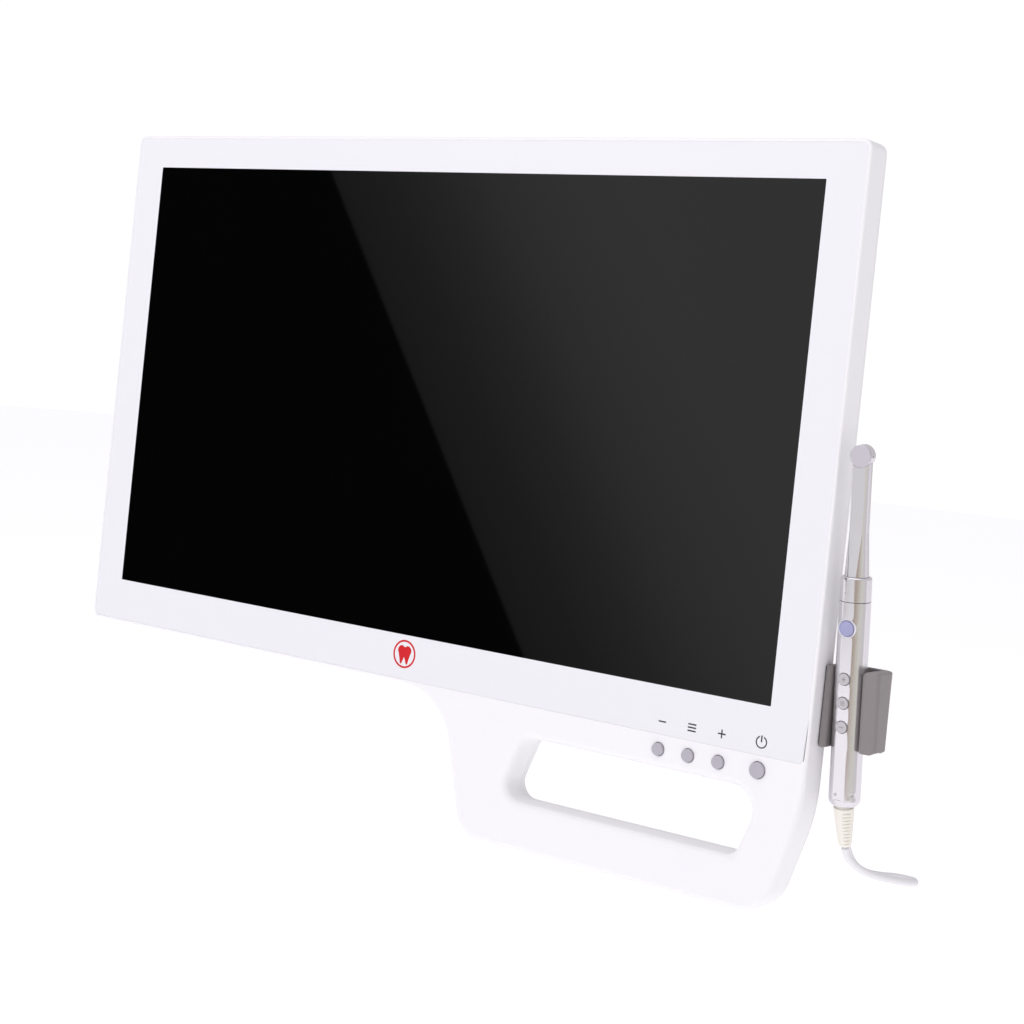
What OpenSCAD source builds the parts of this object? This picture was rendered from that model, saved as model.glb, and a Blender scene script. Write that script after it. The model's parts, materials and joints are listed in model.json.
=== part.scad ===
// Chairside display with a wired intraoral camera clipped to its side.
// Origin at the centre of the rear mounting pattern, on the mounting plate's face.
// +X is the viewer's right, +Y the back, +Z up. All sizes are in millimetres.

/* [Display] */
// Width of the visible picture
screen_w = 527; // [515:1:530]
// Height of the visible picture
screen_h = 296.4; // [290:0.2:297]
// White glass border beside the picture
border_side = 24; // [22:0.5:26]
// White glass border above the picture
border_top = 20.8; // [20:0.2:22]
// White glass border below the picture
border_bottom = 28.3; // [27:0.1:29.5]
// Housing rim outside the glass
rim = 2; // [1.5:0.1:2.5]
// Distance from the mounting face forward to the front rim
front_depth = 46; // [45:0.5:48]
// Depth of the housing's side walls
side_depth = 23.7; // [22:0.1:24]
// Wall thickness of the mouldings
wall = 2.5; // [2:0.1:3]

/* [Carry handle] */
// Drop of the handle below the display's lower edge
handle_drop = 87; // [85:0.5:90]
// Width of the handle along its lower edge
handle_w = 215.3; // [212:0.1:218]
// Width of the hand slot
slot_w = 164.5; // [160:0.5:166]
// Height of the hand slot
slot_h = 39.7; // [38:0.1:41]
// Sideways lean of the hand slot
slot_lean = 14.8; // [12:0.1:16]

/* [Front buttons] */
// Diameter of the three small buttons
button_d = 7.6; // [7:0.1:8]
// Diameter of the power button
power_d = 9.3; // [9:0.1:9.6]
// How far the buttons stand out
button_proud = 1.6; // [1.2:0.1:2]
// Travel of the front buttons
button_travel = 0.8; // [0.5:0.1:0.9]

/* [Camera handpiece] */
// Forward lean of the handpiece in its clip, in degrees
lean = 6.5; // [6:0.1:7]
// Diameter of the round camera head
head_d = 12.6; // [12:0.1:13]
// Radius of the body at its collar end
body_r = 8.8; // [8.7:0.05:8.85]
// Radius of the body at its cord end
body_end_r = 9; // [8.9:0.05:9.05]
// Diameter of the capture button
capture_d = 8.6; // [8.4:0.1:8.8]
// Diameter of the three keys
key_d = 6.6; // [6.4:0.1:6.8]

/* [Side clip] */
// Height of the clip
clip_h = 45.5; // [44:0.5:48]
// Clear width of the clip's channel
channel_w = 18.4; // [18.3:0.1:18.6]

/* [Cord] */
// Diameter of the camera's cord
cord_d = 4.4; // [4:0.1:4.4]
// Mean diameter of the stored coil
coil_d = 50; // [48:1:52]

/* [Mounting] */
// Hole spacing of the rear mounting pattern
vesa = 100; // [100:1:100]
// Radius of the mounting holes, tapped M4
vesa_hole_r = 1.65; // [1.6:0.05:1.7]

/* [Hidden] */
$fn = 48;
ARC_STEP = 9;

// Display outline
glass_x = screen_w / 2 + border_side;
glass_top = screen_h / 2 + border_top;
glass_bottom = -screen_h / 2 - border_bottom;
case_x = glass_x + rim;
case_top = glass_top + rim;
case_bottom = glass_bottom - rim;
handle_bottom = case_bottom - handle_drop;
case_corner = 6;
handle_left = 56.1;
slot_right = 263.5;
front_y = -front_depth;
back_y = front_y + side_depth;
edge_r = 6.5;
seam_y = back_y - edge_r;

// Front wall and glass seat
glass_y = front_y + 0.4;
glass_t = 2.2;
print_t = 0.3;
seat_y = glass_y + glass_t + print_t;
ledge_y = front_y + 5;
chin_wall_y = front_y + 2.6;
window_gap = 4;

// Panel stack behind the ledge
panel_y = ledge_y + 0.1;
tray_x = 271;
tray_z = 157;
tray_back = panel_y + 9;
sheet_t = 0.8;
guide_t = 3;

// Rear bulge
bulge_x = 190;
bulge_low = -110;
bulge_high = 100;
bulge_corner = 22;
plate_s = 120.4;
plate_t = 3;
board_y = -24;

// Front buttons
button_z = case_bottom - 6.7;
button_xs = [194, 214.1, 234.1];
power_x = 259.5;
button_gap = 0.3;
icon_z = glass_bottom + 7.5;
badge_z = -160.4;
badge_r = 9;

// Handpiece placement, on the axis at the middle of the clip
hp = [303, -28.5, -142];
head_w = 139.8;
flare_w = 97.9;
neck_base = 73.2;
seam_w = 59.2;
capture_w = 44.8;
key_ws = [16.4, 2.9, -10.6];
body_end = -57;
relief_len = 24;
relief_bend = 10;
flat_y = -8.45;
pin_r = 0.8;
skin = 1.4;

// Clip
clip_x = 290;
clip_top = -120.5;
arm_t = 3.8;
web_t = 2.1;
lip_x = clip_x + arm_t + channel_w;
clip_out_x = lip_x + 10.9;
clip_front = -37.8;
clip_back = -14.5;
clip_screw_zs = [-131, -155];
clip_screw_y = -31;

// Cord store
coil_c = [236, -12, -58];
coil_half = 9;
hook_r = 5;
plug_x = 156;
port_y = -12;
port_xs = [60, 90, 118, 136];
port_z = bulge_low;

// Route of the cord from the strain relief to the coil
LEAD = [[303, -14.7, -223.3], [303.7, -12.9, -227.8], [305.7, -9.2, -232], [309.1, -2.5, -236.5],
    [313.5, 6, -239.8], [318.5, 15.5, -242], [323, 25.3, -243.9], [324.6, 36.2, -245.4],
    [319, 45.8, -246.6], [308.4, 47.3, -247.2], [300.8, 39.8, -246.8], [296.2, 30.5, -244.6],
    [291.9, 22.4, -239], [289, 17.3, -228.5], [288, 16.2, -215], [287.5, 16, -201],
    [286.5, 15.3, -187], [284.5, 13.8, -172], [281, 11.3, -158], [276.5, 7.3, -144],
    [271.5, 2, -130], [266.5, -4.5, -116], [262.8, -10, -101], [261.4, -12, -88]];

// Route of the cord from the coil to its plug
TAIL = [[213, -12, -86], [206, -12, -98], [201.5, -12, -112], [198, -12, -126.5],
    [194, -12, -141], [188.5, -12, -154.5], [179.5, -12, -165], [167.5, -12, -167.5],
    [158.6, -12, -159.5], [156, -12, -146]];

screw_spots = [[-278, 162], [-95, 162], [95, 162], [278, 162], [-278, -166], [-95, -166],
    [75, -251], [254, -251], [271.5, -215], [278, -160]];

// ---- outlines ----

function unit(v) = v / norm(v);

// Points of an arc of radius r that rounds corner b between a and c
function corner(a, b, c, r) =
    let (p = [b[0], b[1]],
         u = unit([a[0], a[1]] - p),
         v = unit([c[0], c[1]] - p),
         half = acos(u * v) / 2,
         mid = p + unit(u + v) * r / sin(half),
         s = p + u * r / tan(half) - mid,
         e = p + v * r / tan(half) - mid,
         a0 = atan2(s[1], s[0]),
         swing = (atan2(e[1], e[0]) - a0 + 540) % 360 - 180,
         n = max(2, ceil(abs(swing) / ARC_STEP)))
    [for (i = [0:n]) mid + r * [cos(a0 + swing * i / n), sin(a0 + swing * i / n)]];

// Corner points [x, z, radius] turned into a rounded polygon
function rounded(p) = [for (i = [0:len(p) - 1])
    each corner(p[(i + len(p) - 1) % len(p)], p[i], p[(i + 1) % len(p)], p[i][2])];

// Anticlockwise corner points moved inwards by t, with their radii
function inset(p, t) = [for (i = [0:len(p) - 1])
    let (a = p[(i + len(p) - 1) % len(p)], b = p[i], c = p[(i + 1) % len(p)],
         d1 = unit([b[0] - a[0], b[1] - a[1]]),
         d2 = unit([c[0] - b[0], c[1] - b[1]]),
         n1 = [-d1[1], d1[0]],
         n2 = [-d2[1], d2[0]],
         m = (n1 + n2) / (1 + n1 * n2),
         bend = sign(d1[0] * d2[1] - d1[1] * d2[0]))
    [b[0] + t * m[0], b[1] + t * m[1], max(0.3, b[2] - bend * t)]];

function box_outline(x0, x1, z0, z1, r) =
    [[x1, z1, r], [x0, z1, r], [x0, z0, r], [x1, z0, r]];

case_outline = [[case_x, case_top, case_corner], [-case_x, case_top, case_corner],
    [-case_x, case_bottom, case_corner], [32.1, case_bottom, 39.4],
    [handle_left, handle_bottom, 18], [handle_left + handle_w, handle_bottom, 24],
    [case_x, case_bottom - 27.5, 110]];
slot_top = case_bottom - 17.8;
slot_outline = [[slot_right, slot_top, 14], [slot_right - slot_w, slot_top, 10],
    [slot_right - slot_w - slot_lean, slot_top - slot_h, 10],
    [slot_right - slot_lean, slot_top - slot_h, 8]];
glass_outline = box_outline(-glass_x + 0.1, glass_x - 0.1, glass_bottom + 0.1,
    glass_top - 0.1, 3.9);
bulge_outline = box_outline(-bulge_x, bulge_x, bulge_low, bulge_high, bulge_corner);

// ---- building blocks ----

// Extrudes an X-Z outline along Y from y0 to y1
module slab(y0, y1) translate([0, y1, 0]) rotate([90, 0, 0]) linear_extrude(y1 - y0) children();

module plate(outline, y0, y1) slab(y0, y1) polygon(rounded(outline));

module peg(x, z, r, y0, y1) translate([x, y1, z]) rotate([90, 0, 0]) cylinder(r = r, h = y1 - y0);

module block(x0, x1, y0, y1, z0, z1) translate([x0, y0, z0]) cube([x1 - x0, y1 - y0, z1 - z0]);

module centred_sheet(half_x, half_z, y0, y1) block(-half_x, half_x, y0, y1, -half_z, half_z);

// Places a child drawn about the handpiece axis
module on_handpiece() translate(hp) rotate([lean, 0, 0]) children();

// ---- display housing ----

module screw_boss(p) difference() {
    peg(p[0], p[1], 3.5, (p[1] < case_bottom ? chin_wall_y : ledge_y) - 0.5, seam_y);
    peg(p[0], p[1], 1.55, ledge_y + 1, seam_y + 1);
}

module front_housing() color("#f4f3f8") {
    difference() {
        plate(case_outline, front_y, seam_y);
        // Cavity behind the display ledge, then behind the thinner chin wall
        difference() {
            plate(inset(case_outline, wall), ledge_y, seam_y + 1);
            plate(inset(slot_outline, -wall), ledge_y - 1, seam_y + 2);
        }
        difference() {
            intersection() {
                plate(inset(case_outline, wall), chin_wall_y, ledge_y + 1);
                block(-400, 400, chin_wall_y, ledge_y + 1, -400, glass_bottom - 1.6);
            }
            plate(inset(slot_outline, -wall), chin_wall_y - 1, ledge_y + 2);
        }
        plate(slot_outline, front_y - 1, seam_y + 1);
        plate(inset(glass_outline, -0.1), front_y - 1, seat_y);
        centred_sheet(screen_w / 2 + window_gap, screen_h / 2 + window_gap, seat_y - 1, ledge_y + 1);
        for (x = button_xs) peg(x, button_z, button_d / 2 + button_gap, front_y - 1, ledge_y + 1);
        peg(power_x, button_z + 0.3, power_d / 2 + button_gap, front_y - 1, ledge_y + 1);
        // Pilot holes of the side clip
        for (z = clip_screw_zs) translate([case_x - wall - 1, clip_screw_y, z]) rotate([0, 90, 0])
            cylinder(r = 1.3, h = wall + 2);
    }
    for (p = screw_spots) screw_boss(p);
}

// One step of the rounded back edge, from angle a0 to a1; each starts inside the one before
module edge_step(a0, a1) plate(inset(case_outline, edge_r * (1 - cos((a0 + a1) / 2)) + 0.01),
    seam_y + edge_r * sin(a0) - (a0 > 0 ? 0.05 : 0), seam_y + edge_r * sin(a1));

module rear_shell() difference() {
    for (a = [0:15:75]) edge_step(a, a + 15);
    difference() {
        plate(inset(case_outline, wall + 3), seam_y - 1, back_y - wall);
        plate(inset(slot_outline, -wall), seam_y - 2, back_y);
    }
    plate(slot_outline, seam_y - 1, back_y + 1);
}

module bulge_shell() difference() {
    union() {
        plate(bulge_outline, back_y - 0.5, -3);
        plate(inset(bulge_outline, 1), -3, -1);
        plate(inset(bulge_outline, 2.2), -1, 0);
    }
    plate(inset(bulge_outline, wall + 1), back_y - 3, -wall);
}

module rear_cover() color("#efeef3") difference() {
    union() {
        difference() {
            rear_shell();
            plate(inset(bulge_outline, wall + 1), back_y - 4, back_y + 1);
        }
        bulge_shell();
        // Seat of the mounting plate
        plate(box_outline(-66, 66, -66, 66, 6), -6, -2);
        for (p = screw_spots) peg(p[0], p[1], 4.4, seam_y + 0.3, back_y - 1);
    }
    plate(box_outline(-60.5, 60.5, -60.5, 60.5, 4), -plate_t, 1);
    plate(box_outline(-57, 57, -57, 57, 4), -7, 0);
    for (p = screw_spots) {
        peg(p[0], p[1], 1.8, seam_y - 1, back_y + 1);
        peg(p[0], p[1], 3.2, back_y - 2.4, back_y + 1);
    }
    // Cooling slots along the top of the bulge
    for (x = [-150:12:150]) block(x - 1.5, x + 1.5, -4, 1, 72, 92);
    // Sound slots at the lower corners
    for (s = [-1, 1], i = [0:5]) block(s * 150 - 12, s * 150 + 12, -4, 1, -92 + 5 * i, -90 + 5 * i);
    // Port openings in the lower wall
    translate([port_xs[0], port_y, port_z - 1]) cylinder(r = 4.6, h = 5);
    block(port_xs[1] - 7.9, port_xs[1] + 7.9, port_y - 3.2, port_y + 3.2, port_z - 1, port_z + 4);
    for (x = [port_xs[2], port_xs[3]])
        block(x - 6.9, x + 6.9, port_y - 3.4, port_y + 3.4, port_z - 1, port_z + 4);
    translate([plug_x, port_y, port_z - 1]) cylinder(r = 6.6, h = 5);
}

module housing_screws() color("#b8b8bc") for (p = screw_spots) difference() {
    union() {
        peg(p[0], p[1], 1.5, seam_y - 8, back_y - 2.4);
        peg(p[0], p[1], 2.8, back_y - 2.4, back_y - 0.6);
    }
    for (a = [0, 90]) translate([p[0], back_y, p[1]]) rotate([0, a, 0])
        cube([3, 2.4, 0.8], center = true);
}

// ---- glass and picture panel ----

module cover_glass() color("#f4f3f8", 0.4) plate(glass_outline, glass_y, glass_y + glass_t);

module glass_border_print() color("#f4f3f8") difference() {
    plate(glass_outline, glass_y + glass_t, seat_y);
    centred_sheet(screen_w / 2, screen_h / 2, glass_y, seat_y + 1);
}

module lcd_panel() color("#0a0a0c") centred_sheet(268, 154, panel_y, panel_y + 1.6);

module optical_sheets() color("#f0f0f0")
    centred_sheet(267, 153, panel_y + 1.8, panel_y + 1.8 + sheet_t);

module light_guide() color("#e8f0f4", 0.6)
    block(-266, 266, panel_y + 2.8, panel_y + 2.8 + guide_t, -150.4, 152.5);

module reflector_sheet() color("#ffffff")
    centred_sheet(267, 153, panel_y + 6, panel_y + 6.5);

module led_strip() color("#e8c860") {
    block(-262, 262, panel_y + 2.8, panel_y + 5.8, -152.6, -151.8);
    for (x = [-250:20:250]) block(x - 2.5, x + 2.5, panel_y + 3.2, panel_y + 5.4, -151.8, -150.8);
}

module panel_frame() color("#b4b6ba") difference() {
    centred_sheet(tray_x, tray_z, panel_y, tray_back);
    centred_sheet(tray_x - 1.5, tray_z - 1.5, panel_y - 1, tray_back - 0.9);
}

module chassis_plate() color("#aaaeb2") {
    difference() {
        block(-180, 180, tray_back + 0.2, tray_back + 1.4, -92, 92);
        for (x = [-150:50:150]) peg(x, 74, 6, tray_back - 1, tray_back + 2);
    }
    for (p = [[-110, -60], [-110, 50], [30, -60], [30, 50], [66, -60], [66, 50], [164, -60],
              [164, 50]])
        peg(p[0], p[1], 2.5, tray_back + 1.4, board_y);
}

// ---- electronics ----

module main_board() color("#1f6b3a") {
    block(-120, 40, board_y, board_y + 1.6, -70, 60);
    block(-96, -66, board_y + 1.6, board_y + 3.4, -15, 15);
    for (z = [-40, -20, 20]) block(-30, -14, board_y + 1.6, board_y + 3, z - 6, z + 6);
    for (x = [-110, -100, 10, 22]) peg(x, 44, 3, board_y + 1.6, board_y + 10);
    block(-50, -10, board_y + 1.6, board_y + 5, -68, -60);
}

module heat_sink() color("#8a8e94") {
    block(-98, -64, board_y + 3.5, board_y + 5.5, -17, 17);
    for (i = [0:6]) block(-97 + 5.2 * i, -95.5 + 5.2 * i, board_y + 5.5, board_y + 14, -17, 17);
}

module power_board() color("#20603a") {
    block(60, 170, board_y, board_y + 1.6, -70, 60);
    block(80, 108, board_y + 1.6, board_y + 14, -10, 20);
    for (z = [-50, -34]) peg(90, z, 6, board_y + 1.6, board_y + 14);
    for (z = [-40, 40]) peg(140, z, 5, board_y + 1.6, board_y + 12);
    block(125, 150, board_y + 1.6, board_y + 8, -10, 14);
}

module panel_ribbon() color("#d8d4c0") {
    block(-44, -16, board_y - 1.2, board_y - 0.8, -98, -64);
    block(-44, -16, tray_back + 0.2, board_y - 0.8, -98.4, -98);
}

module speakers() color("#3a3a3e") for (s = [-1, 1]) difference() {
    block(s * 150 - 20, s * 150 + 20, -18, -4.5, -92, -71);
    peg(s * 150, -81.5, 8, -6, -4);
}

module key_board() color("#1f6b3a") block(186, 267, front_y + 11, front_y + 12.6, -192, -179.5);

module key_switches() color("#4a4a4e") for (x = concat(button_xs, [power_x])) {
    block(x - 3, x + 3, front_y + 8.4, front_y + 11, button_z - 3, button_z + 3);
    peg(x, button_z, 1.6, front_y + 7.6, front_y + 8.4);
}

module vesa_plate() color("#c4c6ca") difference() {
    union() {
        plate(box_outline(-plate_s / 2, plate_s / 2, -plate_s / 2, plate_s / 2, 4), -plate_t, 0);
        for (sx = [-1, 1], sz = [-1, 1]) peg(sx * vesa / 2, sz * vesa / 2, 4.5, -9, -plate_t);
    }
    for (sx = [-1, 1], sz = [-1, 1])
        peg(sx * vesa / 2, sz * vesa / 2, vesa_hole_r, -10, 1);
    peg(0, 0, 15, -plate_t - 1, 1);
}

// ---- ports ----

module port_board() color("#1f6b3a") block(48, 166, port_y - 9, port_y - 7.4, port_z + 4, port_z + 26);

module power_socket() color("#26262a") translate([port_xs[0], port_y, port_z]) {
    difference() {
        translate([-5.5, -7.3, 3.7]) cube([11, 12.8, 12.3]);
        translate([0, 0, -1]) cylinder(r = 3.2, h = 14);
    }
    difference() {
        cylinder(r = 4.3, h = 3.7);
        translate([0, 0, -1]) cylinder(r = 3.2, h = 6);
    }
    translate([0, 0, 1]) cylinder(r = 1, h = 13);
}

module hdmi_socket() color("#a8abb0") translate([port_xs[1], port_y, port_z]) difference() {
    union() {
        translate([-7.5, -2.8, 0.2]) cube([15, 5.6, 12]);
        translate([-7.5, -7.3, 4.5]) cube([15, 5, 7.7]);
    }
    translate([-7, -2.3, -1]) cube([14, 4.6, 11]);
}

module usb_sockets() color("#a8abb0") for (x = [port_xs[2], port_xs[3]])
    translate([x, port_y, port_z]) {
        difference() {
            union() {
                translate([-6.6, -3.1, 0.2]) cube([13.2, 6.2, 14]);
                translate([-6.6, -7.3, 4.5]) cube([13.2, 5, 9.7]);
            }
            translate([-6.1, -2.6, -1]) cube([12.2, 5.2, 13]);
        }
        translate([-5.6, -2.3, 1.5]) cube([11.2, 1.8, 11]);
    }

module camera_socket() color("#c0c2c6") translate([plug_x, port_y, port_z]) difference() {
    union() {
        translate([0, 0, -1.2]) cylinder(r = 8, h = 1.1);
        cylinder(r = 6.3, h = 14);
        translate([-5, -7.3, 5]) cube([10, 5, 8]);
    }
    translate([0, 0, -2]) cylinder(r = 4.5, h = 12);
}

// ---- printed symbols ----

module panel_icons() color("#2a2a2e") slab(glass_y - 0.08, glass_y) {
    translate([194.7, icon_z]) square([5, 0.8], center = true);
    for (dz = [-1.9, 0, 1.9]) translate([214.7, icon_z + dz]) square([5.4, 0.8], center = true);
    translate([234.4, icon_z]) {
        square([5, 0.8], center = true);
        square([0.8, 5], center = true);
    }
    translate([260, icon_z]) {
        difference() {
            circle(r = 3.6);
            circle(r = 2.9);
            translate([0, 3.2]) square([2.6, 3], center = true);
        }
        translate([0, 1.9]) square([0.8, 3.8], center = true);
    }
}

// A plain tooth: a crown with two roots
module tooth_shape() difference() {
    union() {
        translate([-3.3, 3.2]) circle(r = 4.2);
        translate([3.3, 3.2]) circle(r = 4.2);
        polygon([[-7.5, 3.4], [7.5, 3.4], [5.4, -3.5], [4.2, -8], [2.4, -8], [0, -2.4],
                 [-2.4, -8], [-4.2, -8], [-5.4, -3.5]]);
        for (s = [-1, 1]) translate([s * 3.3, -8]) circle(r = 0.95);
    }
    translate([0, 8.4]) circle(r = 2.2);
}

module badge_mark() color("#d2202c") slab(glass_y - 0.08, glass_y) translate([0, badge_z]) {
    difference() {
        circle(r = badge_r);
        circle(r = badge_r - 1.2);
    }
    scale(0.72) tooth_shape();
}

// ---- front buttons ----

module front_button(x, z, d) {
    peg(x, z, d / 2, front_y - button_proud, chin_wall_y + 0.3);
    peg(x, z, d / 2 + 1.1, chin_wall_y + 0.3, chin_wall_y + 1.1);
    peg(x, z, 1.5, chin_wall_y + 1.1, front_y + 7.6 - button_travel - 0.3);
}

module button_minus() color("#bebcc8") front_button(button_xs[0], button_z, button_d);
module button_menu() color("#bebcc8") front_button(button_xs[1], button_z, button_d);
module button_plus() color("#bebcc8") front_button(button_xs[2], button_z, button_d);
module button_power() color("#bebcc8") front_button(power_x, button_z + 0.3, power_d);

// ---- side clip ----

module clip_plan() {
    arm_front = -36;
    web_in = clip_back - web_t;
    polygon(rounded([[clip_x, clip_back, 1], [clip_x, arm_front, 1.2],
        [clip_x + arm_t, arm_front, 2], [clip_x + arm_t, web_in, 5],
        [lip_x + 3.6, web_in, 5], [lip_x + 3.6, clip_front + 6.5, 1.5],
        [lip_x, clip_front + 5, 1], [lip_x, clip_front, 1.8],
        [clip_out_x, clip_front, 3], [clip_out_x, clip_back, 8]]));
}

module holder_clip() color("#85858c") difference() {
    intersection() {
        translate([0, 0, clip_top - clip_h]) linear_extrude(clip_h) clip_plan();
        // The right arm's front edge leans with the handpiece
        union() {
            translate([clip_x - 1, 0, 0]) rotate([90, 0, 90]) linear_extrude(lip_x - clip_x - 2)
                polygon([[-60, clip_top + 1], [0, clip_top + 1], [0, clip_top - clip_h - 1],
                         [-60, clip_top - clip_h - 1]]);
            translate([lip_x - 3, 0, 0]) rotate([90, 0, 90]) linear_extrude(20)
                polygon(rounded([[clip_front, clip_top, 1.5],
                    [clip_front + clip_h * tan(lean), clip_top - clip_h, 2], [0, clip_top - clip_h, 1],
                    [0, clip_top, 1]]));
        }
    }
    // Rounded top corner of the lip
    slab(-60, clip_front + 6) difference() {
        translate([lip_x - 1, clip_top - 5]) square([6, 6]);
        translate([lip_x + 5, clip_top - 5]) circle(r = 5);
    }
    for (z = clip_screw_zs) {
        translate([clip_x - 1, clip_screw_y, z]) rotate([0, 90, 0]) cylinder(r = 1.6, h = arm_t + 2);
        translate([clip_x + arm_t - 1.8, clip_screw_y, z]) rotate([0, 90, 0]) cylinder(r = 2.9, h = 3);
    }
}

module holder_pad() color("#5a5a60") difference() {
    block(case_x, clip_x, -35, seam_y - 1, clip_top - clip_h + 1, clip_top - 1);
    for (z = clip_screw_zs) translate([case_x - 1, clip_screw_y, z]) rotate([0, 90, 0])
        cylinder(r = 1.6, h = 3);
}

module holder_screws() color("#b8b8bc") for (z = clip_screw_zs) translate([0, clip_screw_y, z])
    rotate([0, 90, 0]) {
        translate([0, 0, case_x - wall - 2]) cylinder(r = 1.25, h = clip_x + arm_t - 1.8 - case_x + wall + 2);
        difference() {
            translate([0, 0, clip_x + arm_t - 1.8]) cylinder(r = 2.6, h = 1.5);
            for (a = [0, 90]) rotate([0, 0, a])
                translate([0, 0, clip_x + arm_t - 0.3]) cube([3.2, 0.7, 1.2], center = true);
        }
    }

// ---- cord and its store ----

// Normals carried along the route so that the tube does not twist
function tangent(p, i) = unit(p[min(i + 1, len(p) - 1)] - p[max(i - 1, 0)]);
function square_to(n, t) = unit(n - (n * t) * t);
function normals(p) = [for (i = 0, n = square_to([0.3, 0.9, 0.2], tangent(p, 0)); i < len(p);
    i = i + 1, n = square_to(n, tangent(p, min(i, len(p) - 1)))) n];

module tube(p, r, sides = 10) {
    ns = normals(p);
    rings = [for (i = [0:len(p) - 1], k = [0:sides - 1])
        let (n = ns[i], b = cross(tangent(p, i), n), a = 360 * k / sides)
        p[i] + r * (cos(a) * n + sin(a) * b)];
    walls = [for (i = [0:len(p) - 2], k = [0:sides - 1])
        [i * sides + k, (i + 1) * sides + k, (i + 1) * sides + (k + 1) % sides,
         i * sides + (k + 1) % sides]];
    last = (len(p) - 1) * sides;
    polyhedron(rings, concat(walls, [[for (k = [0:sides - 1]) k]],
        [[for (k = [sides - 1:-1:0]) last + k]]));
}

module cord_lead() color("#eceaf0") tube(LEAD, cord_d / 2);

module cord_tail() color("#eceaf0") tube(TAIL, cord_d / 2);

module cord_coil() color("#eceaf0") translate(coil_c) rotate([90, 0, 0]) rotate_extrude($fn = 72)
    polygon(rounded([[coil_d / 2 + coil_half, coil_half, 2], [coil_d / 2 - coil_half, coil_half, 2],
        [coil_d / 2 - coil_half, -coil_half, 2], [coil_d / 2 + coil_half, -coil_half, 2]]));

module cable_tie() color("#3c3c42") translate([coil_c[0], coil_c[1], coil_c[2] - coil_d / 2])
    difference() {
        cube([6, 2 * coil_half + 2, 2 * coil_half + 2], center = true);
        cube([8, 2 * coil_half + 0.1, 2 * coil_half + 0.1], center = true);
    }

module cable_hook() color("#85858c") {
    hook_z = coil_c[2] + coil_d / 2 - coil_half - hook_r - 0.1;
    peg(coil_c[0], hook_z, hook_r, back_y, -2.6);
    hull() {
        peg(coil_c[0], hook_z, 6, -2.6, -0.6);
        peg(coil_c[0], hook_z + 9, 6, -2.6, -0.6);
    }
}

module cord_plug() color("#d4d4da") translate([plug_x, port_y, port_z]) difference() {
    rotate_extrude() polygon([[0, -36], [3, -36], [4, -24], [5.6, -23], [5.6, -14], [6.8, -13.5],
        [6.8, -2], [4.4, -1.6], [4.4, 9.5], [0, 9.5]]);
    translate([0, 0, -37]) cylinder(r = cord_d / 2, h = 1);
}

// ---- camera head and neck ----

module head_shell() color("#d8d6dc") on_handpiece() translate([0, 0, head_w]) difference() {
    peg(0, 0, head_d / 2, -3.2, 2.4);
    peg(0, 0, head_d / 2 - 0.9, -4, 1.4);
    peg(0, 0, 3.9, 0, 3);
    translate([head_d / 2 - 0.5, -0.6, 0]) rotate([0, 90, 0]) cylinder(r = 0.5, h = 2);
    translate([0, -0.9, -head_d / 2 - 1]) cylinder(r = 1.7, h = 3);
}

module head_cap() color("#cfcdd8") on_handpiece() translate([0, 0, head_w])
    peg(0, 0, head_d / 2 - 0.1, -4, -3.3);

module lens_window() color("#101820", 0.6) on_handpiece() translate([0, 0, head_w])
    peg(0, 0, 3.8, 1.5, 2.2);

module lens_barrel() color("#26262a") on_handpiece() translate([0, 0, head_w]) difference() {
    peg(0, 0, 1.5, -0.9, 1.2);
    peg(0, 0, 0.9, 0.5, 1.3);
}

module led_ring() color("#f4e8a0") on_handpiece() translate([0, 0, head_w]) {
    difference() {
        peg(0, 0, 4.6, -0.1, 0.4);
        peg(0, 0, 1.7, -1, 1);
    }
    for (i = [0:5]) rotate([0, 60 * i, 0]) peg(3.0, 0, 0.7, 0.4, 1.1);
}

module sensor_board() color("#1f6b3a") on_handpiece() translate([0, 0, head_w])
    peg(0, 0, 4.6, -2.0, -1);

// Round section with its front cut flat
module neck_plan(r, front) difference() {
    circle(r = r);
    translate([-r, -2 * r]) square([2 * r, 2 * r + front]);
}

module neck_tube() color("#d8d6dc") on_handpiece() difference() {
    union() {
        translate([0, 0, flare_w - 0.1]) linear_extrude(head_w - flare_w)
            neck_plan(5.4, -3.9);
        hull() {
            translate([0, 0, flare_w - 0.1]) linear_extrude(0.1)
                neck_plan(5.4, -3.9);
            translate([0, 0, neck_base]) linear_extrude(0.1)
                neck_plan(6.8, -6.5);
        }
    }
    translate([0, 0, head_w]) peg(0, 0, head_d / 2 + 0.05, -6, 6);
    translate([0, -0.9, neck_base - 1]) cylinder(r = 1.6, h = head_w);
}

// Round section of the given radius with its front cut flat
module flat_front(z0, z1) translate([-12, -20, z0]) cube([24, 20 + flat_y, z1 - z0]);

module collar_ring() color("#dcdae0") on_handpiece() difference() {
    rotate_extrude($fn = 72) polygon([[4, neck_base - 0.1], [7.3, neck_base - 0.1], [8.2, neck_base - 0.5],
        [body_r - 0.2, neck_base - 1.4], [body_r - 0.05, seam_w + 0.3], [4, seam_w + 0.3]]);
    flat_front(seam_w, neck_base + 1);
}

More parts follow.
